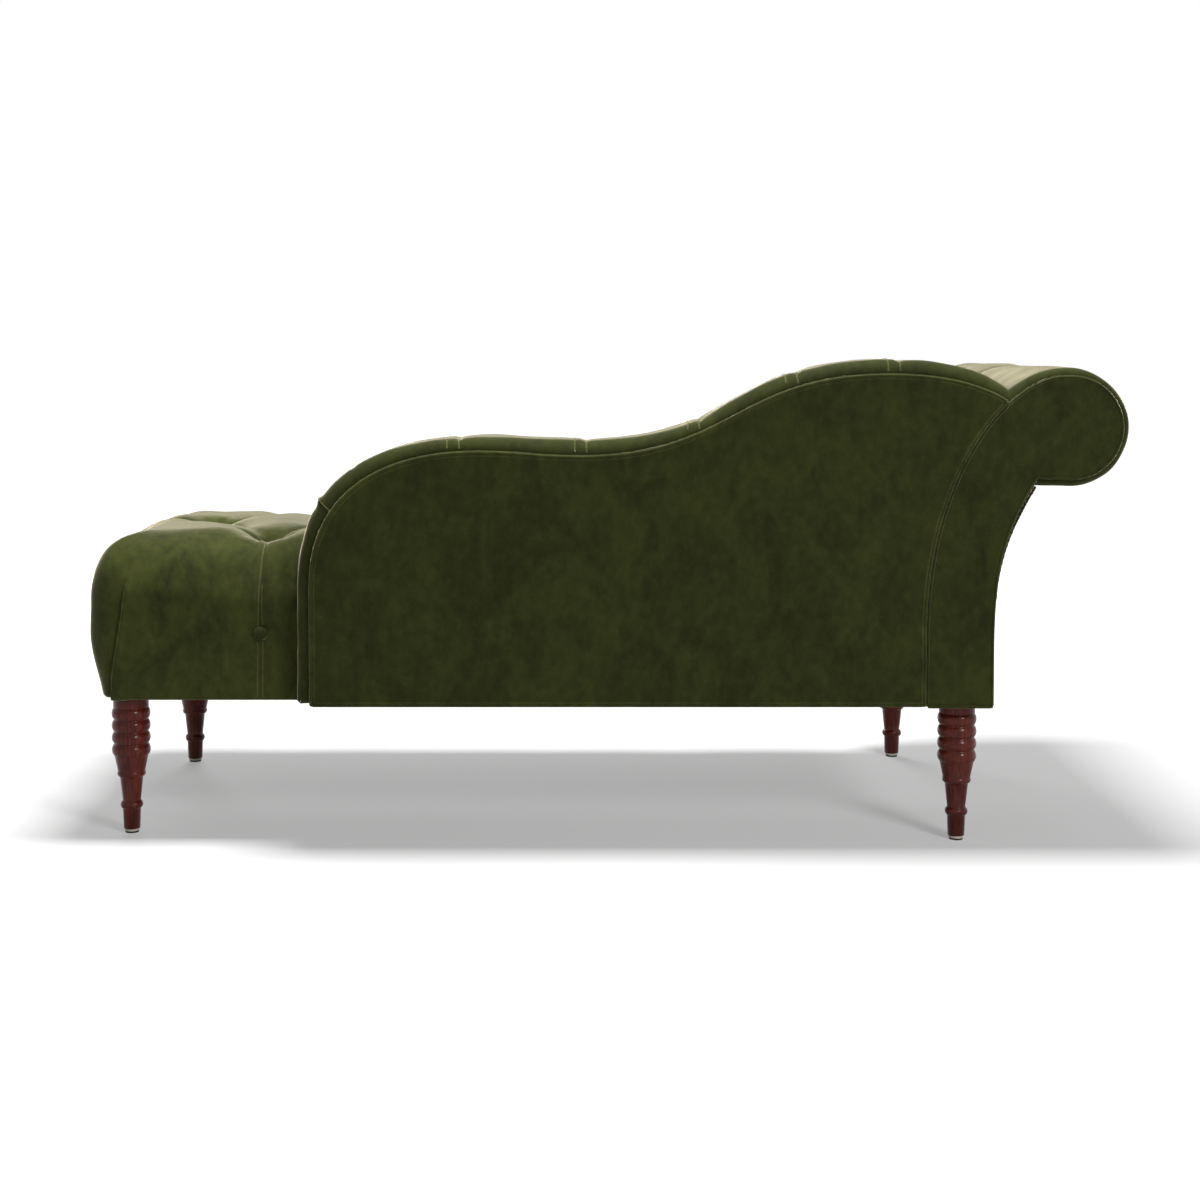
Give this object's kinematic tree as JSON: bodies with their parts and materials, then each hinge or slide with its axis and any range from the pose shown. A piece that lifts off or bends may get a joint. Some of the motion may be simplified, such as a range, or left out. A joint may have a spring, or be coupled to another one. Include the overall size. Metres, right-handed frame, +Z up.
{
  "type": "chaise longue",
  "caption": "Chaise longue with one scroll arm, an S-curved padded back, a button-tufted seat and turned legs.",
  "frame": {"origin": "on the floor, under the middle of the bounding box", "axes": "+Z up, +X along the seat towards the foot end, +Y towards the outside of the back"},
  "size_m": [1.604, 0.71, 0.7465],
  "materials": {
    "velvet": "cut pile velvet, dark olive",
    "foam": "polyurethane foam",
    "wadding": "polyester wadding",
    "felt": "needled felt",
    "dust_cloth": "spun-bonded black cloth",
    "webbing": "woven elastic webbing",
    "twine": "waxed flax twine",
    "hardwood": "planed, raw",
    "plywood": "planed, raw",
    "fibreboard": "hard pressed board",
    "mahogany": "dark red-brown gloss lacquer",
    "zinc": "zinc plated",
    "spring_steel": "oiled",
    "nylon": "smooth",
    "glide_foot": "matt"
  },
  "bodies": {
    "root": {"seat_rail_rear": "hardwood", "seat_rail_front": "hardwood", "seat_rail_foot": "hardwood", "seat_rail_head": "hardwood", "seat_braces": "hardwood", "corner_blocks": "hardwood", "joint_bolts": "zinc", "seat_springs": "spring_steel", "spring_clips": "zinc", "deck_felt": "felt", "seat_foam": "foam", "seat_side_padding": "wadding", "seat_cover": "velvet", "seat_buttons": "velvet", "seat_side_buttons": "velvet", "seat_twines": "twine", "back_arch_rear": "plywood", "back_arch_front": "plywood", "back_posts": "hardwood", "back_bottom_rail": "hardwood", "back_webbing": "webbing", "back_foam": "foam", "back_cover": "velvet", "back_buttons": "velvet", "back_twines": "twine", "back_outer_board": "fibreboard", "back_outer_wadding": "wadding", "back_outer_cover": "velvet", "back_outer_welt": "velvet", "arm_frame_rear": "plywood", "arm_frame_front": "plywood", "arm_stretchers": "hardwood", "arm_roll_board": "fibreboard", "arm_foam": "foam", "arm_cover": "velvet", "arm_buttons": "velvet", "arm_twines": "twine", "arm_outside_board": "fibreboard", "arm_outside_wadding": "wadding", "arm_outside_cover": "velvet", "arm_end_board_rear": "fibreboard", "arm_end_wadding_rear": "wadding", "arm_end_cover_rear": "velvet", "arm_end_welt_rear": "velvet", "arm_end_board_front": "fibreboard", "arm_end_wadding_front": "wadding", "arm_end_cover_front": "velvet", "arm_end_welt_front": "velvet", "dust_cover": "dust_cloth", "dust_cover_staples": "zinc", "leg_foot_rear": "mahogany", "leg_foot_front": "mahogany", "leg_head_rear": "mahogany", "leg_head_front": "mahogany", "hanger_bolts": "zinc", "tee_nuts": "zinc", "glide_rings": "nylon", "glide_pads": "glide_foot"}
  },
  "joints": []
}
